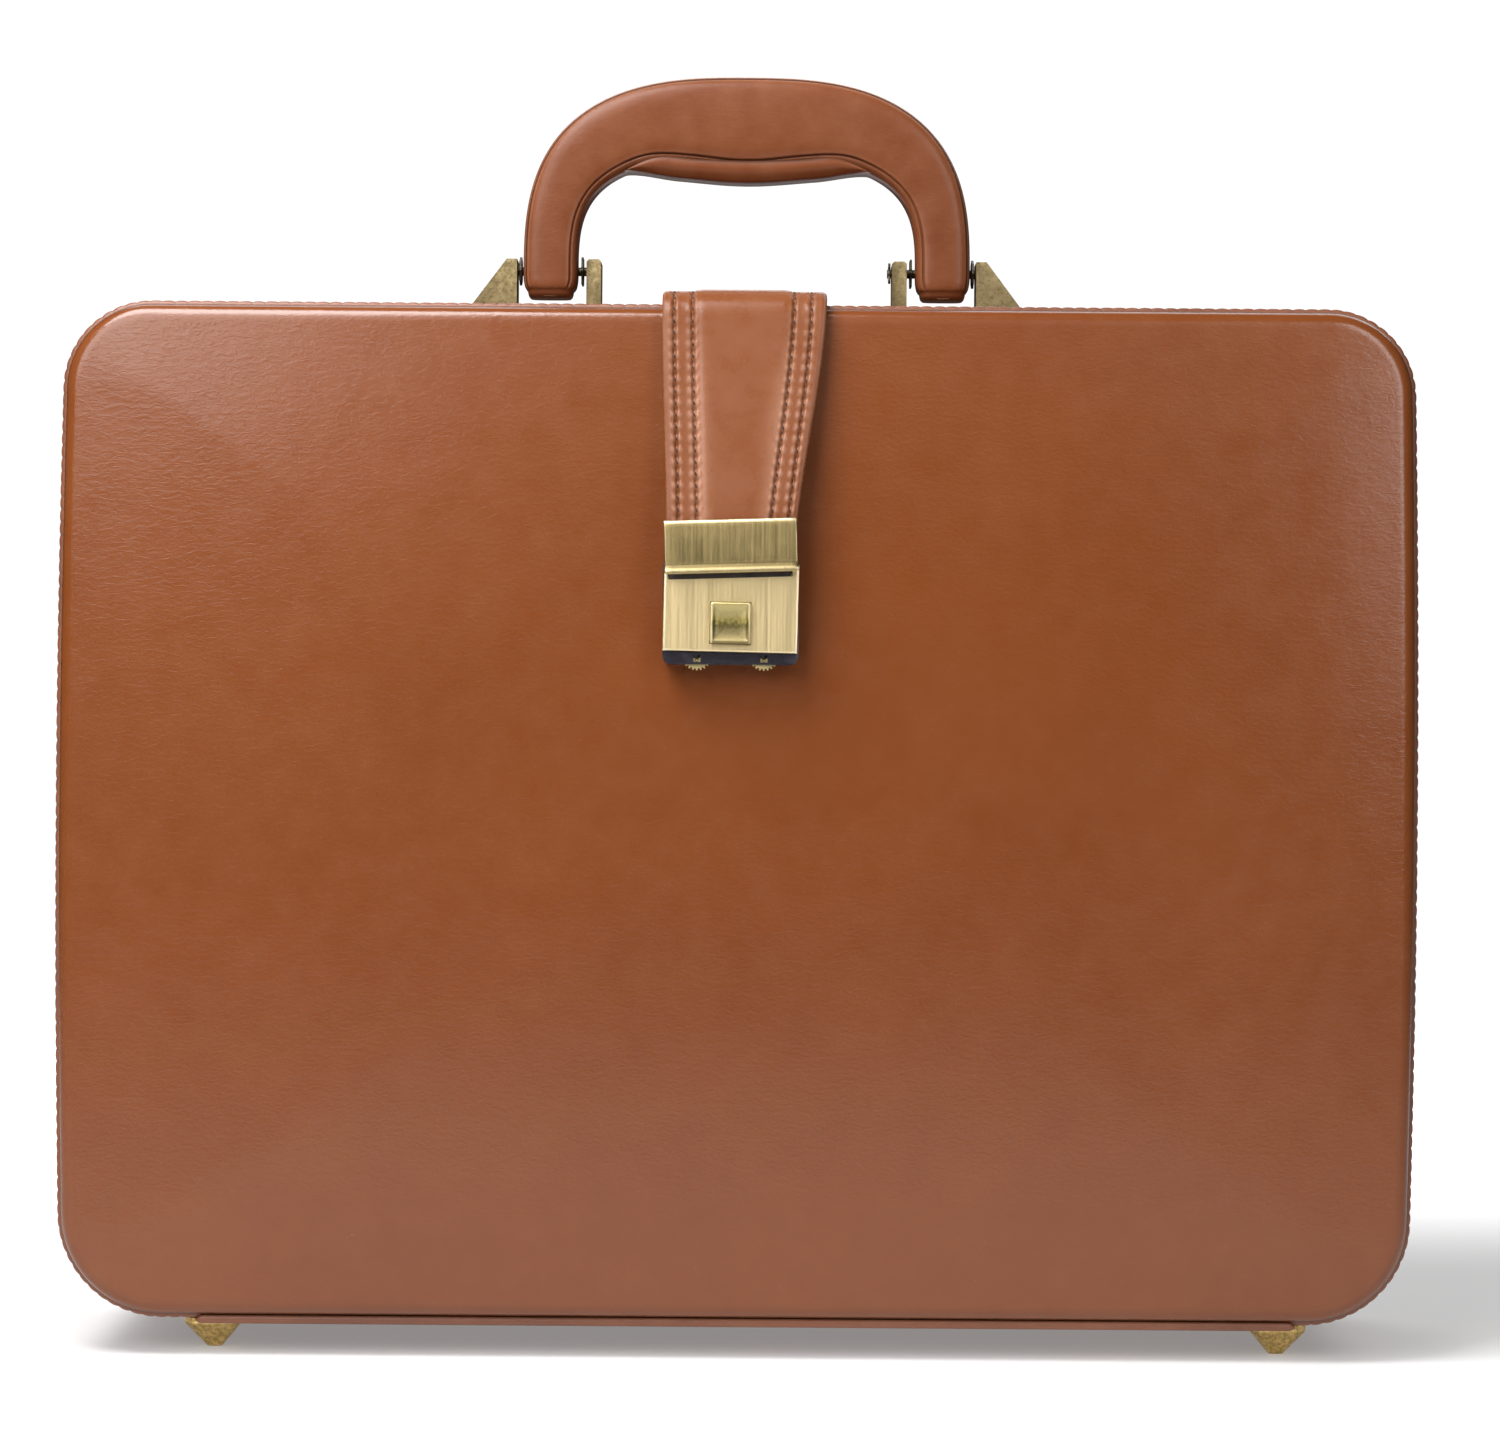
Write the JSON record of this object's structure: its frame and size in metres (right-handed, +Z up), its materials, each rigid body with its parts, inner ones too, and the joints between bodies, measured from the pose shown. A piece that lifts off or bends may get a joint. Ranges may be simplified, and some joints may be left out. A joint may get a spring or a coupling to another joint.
{
  "type": "flight bag",
  "caption": "Hard-sided leather flight bag with two top lids, a swinging handle and a strap that locks over the front with dials and a thumb button.",
  "frame": {"origin": "on the floor under the feet, below the middle of the bounding box", "axes": "+Z up, the front panel with the lock faces -Y, +X is to the right as seen from the front"},
  "size_m": [0.445, 0.145, 0.427],
  "materials": {
    "leather": "satin",
    "edge_leather": "satin",
    "board": "matte",
    "lining": "matte",
    "wood": "satin",
    "brass": "antique",
    "dark_metal": "satin",
    "steel": "satin"
  },
  "bodies": {
    "case": {"front_cover": "leather", "front_board": "board", "front_lining": "lining", "front_welt": "edge_leather", "rear_cover": "leather", "rear_board": "board", "rear_lining": "lining", "rear_welt": "edge_leather", "band_cover": "leather", "side_board_left": "board", "side_board_right": "board", "bottom_board": "board", "band_lining": "lining", "base_plate": "leather", "foot_front_left": "brass", "foot_front_right": "brass", "foot_rear_left": "brass", "foot_rear_right": "brass", "front_rim": "wood", "rear_rim": "wood", "front_case_leaf": "steel", "rear_case_leaf": "steel", "front_hinge_pin": "steel", "rear_hinge_pin": "steel", "divider": "lining", "lock_case": "dark_metal", "lock_face_plate": "brass", "lock_backing": "steel", "latch_spring": "steel"},
    "front_lid": {"front_lid_cover": "leather", "front_lid_board": "board", "front_lid_lining": "lining", "front_lid_leaf": "steel", "front_lid_edge_bar": "steel"},
    "rear_lid": {"rear_lid_cover": "leather", "rear_lid_board": "board", "rear_lid_lining": "lining", "rear_lid_leaf": "steel", "bracket_left": "brass", "bracket_right": "brass", "handle_pin_left": "steel", "handle_pin_right": "steel", "outer_washer_left": "dark_metal", "outer_washer_right": "dark_metal", "inner_washer_left": "dark_metal", "inner_washer_right": "dark_metal", "pin_clip": "dark_metal", "strap_bridge": "leather", "strap_anchor": "brass"},
    "handle": {"handle_cover": "leather", "handle_core": "wood", "grip_roll": "leather"},
    "strap": {"strap_flap": "leather", "hasp_plate": "brass", "hasp_hook": "brass"},
    "button": {"thumb_button": "brass"},
    "latch": {"latch": "steel"},
    "dial_left": {"dial_left": "brass"},
    "dial_right": {"dial_right": "brass"}
  },
  "joints": [
    {"name": "rear_lid_swing", "type": "hinge", "parent": "case", "child": "rear_lid", "pos_m": [0, 0.0575, 0.3403], "axis": [-1, 0, 0], "range_deg": [0, 100]},
    {"name": "front_lid_swing", "type": "hinge", "parent": "case", "child": "front_lid", "pos_m": [0, -0.0415, 0.3403], "axis": [1, 0, 0], "range_deg": [0, 100]},
    {"name": "strap_lift", "type": "hinge", "parent": "rear_lid", "child": "strap", "pos_m": [0.0014, -0.0508, 0.3486], "axis": [-1, 0, 0], "range_deg": [0, 100]},
    {"name": "handle_swing", "type": "hinge", "parent": "rear_lid", "child": "handle", "pos_m": [0.0018, 0.01, 0.361], "axis": [-1, 0, 0], "range_deg": [-80, 80]},
    {"name": "button_press", "type": "slide", "parent": "case", "child": "button", "axis": [0, 1, 0], "range_m": [0, 0.0025], "stiffness_N_per_m": 400},
    {"name": "latch_slide", "type": "slide", "parent": "case", "child": "latch", "axis": [0, 0, -1], "range_m": [0, 0.0025], "deforming": ["latch_spring"]},
    {"name": "dial_left_turn", "type": "hinge", "parent": "case", "child": "dial_left", "pos_m": [-0.0132, -0.0644, 0.2294], "axis": [0, 1, 0], "continuous": true},
    {"name": "dial_right_turn", "type": "hinge", "parent": "case", "child": "dial_right", "pos_m": [0.0084, -0.0644, 0.2294], "axis": [0, 1, 0], "continuous": true}
  ],
  "couplings": [
    {"joint": "front_lid_swing", "follows": "rear_lid_swing", "ratio": 1},
    {"joint": "latch_slide", "follows": "button_press", "ratio": 1}
  ]
}
